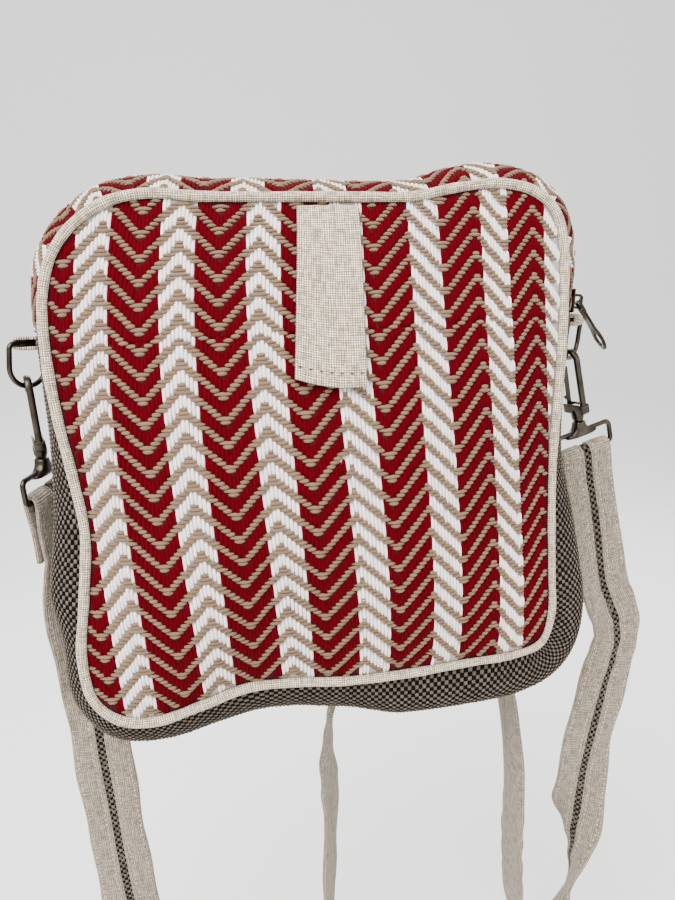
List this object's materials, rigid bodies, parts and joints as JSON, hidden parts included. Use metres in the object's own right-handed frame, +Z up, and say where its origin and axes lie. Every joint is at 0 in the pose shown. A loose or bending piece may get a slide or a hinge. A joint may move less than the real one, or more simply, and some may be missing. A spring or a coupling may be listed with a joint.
{
  "type": "hemp shoulder bag",
  "caption": "Small boxy soft shoulder bag with a zipped top, piped chevron-cloth front, check hemp sides and a clip-on linen strap.",
  "frame": {"origin": "under the middle of the bag's bottom, where the hand that holds the bag up supports it", "axes": "+X to the right seen from the chevron front, +Y from the front panel to the back panel, +Z up to the zipped top"},
  "size_m": [0.3125, 0.1301, 0.4673],
  "materials": {
    "chevron_cloth": "handwoven red and white chevron twill with beige weft",
    "check_hemp": "black and off-white dotted hemp weave",
    "linen": "natural plain-woven linen",
    "gunmetal": "antique nickel, polished",
    "zip": "dark woven zip tape with moulded teeth"
  },
  "bodies": {
    "bag": {"front_panel": "chevron_cloth", "back_panel": "check_hemp", "front_piping": "linen", "back_piping": "linen", "lower_gusset": "check_hemp", "upper_gusset_front": "chevron_cloth", "upper_gusset_back": "chevron_cloth", "zip_tape": "zip", "zip_slider": "gunmetal", "front_tab": "linen", "ring_loop_left": "linen", "d_ring_left": "gunmetal", "hook_eye_left": "gunmetal", "ring_loop_right": "linen", "d_ring_right": "gunmetal", "hook_eye_right": "gunmetal", "strap_band": "linen", "strap_stripe": "check_hemp"},
    "pull": {"zip_pull": "gunmetal"},
    "hook_left": {"hook_body_left": "gunmetal"},
    "gate_left": {"hook_gate_left": "gunmetal"},
    "hook_right": {"hook_body_right": "gunmetal"},
    "gate_right": {"hook_gate_right": "gunmetal"}
  },
  "joints": [
    {"name": "pull_swing", "type": "hinge", "parent": "bag", "child": "pull", "pos_m": [0.13051, -0.00043, 0.18483], "axis": [-0.1036, -0.9945, 0.014], "range_deg": [-10, 100]},
    {"name": "hook_left_swivel", "type": "hinge", "parent": "bag", "child": "hook_left", "pos_m": [-0.12659, 0.01682, 0.12749], "axis": [-0.0327, -0.2058, 0.978], "range_deg": [-8, 20]},
    {"name": "gate_left_press", "type": "hinge", "parent": "hook_left", "child": "gate_left", "pos_m": [-0.12799, 0.01968, 0.13551], "axis": [0.9669, 0.2411, 0.083], "range_deg": [0, 15], "stiffness_Nm_per_rad": 0.02},
    {"name": "hook_right_swivel", "type": "hinge", "parent": "bag", "child": "hook_right", "pos_m": [0.13777, 0.01629, 0.12518], "axis": [-0.2117, -0.1855, 0.9596], "range_deg": [-2, 20]},
    {"name": "gate_right_press", "type": "hinge", "parent": "hook_right", "child": "gate_right", "pos_m": [0.13468, 0.01925, 0.13267], "axis": [0.9183, 0.2984, 0.2602], "range_deg": [0, 15], "stiffness_Nm_per_rad": 0.02}
  ]
}
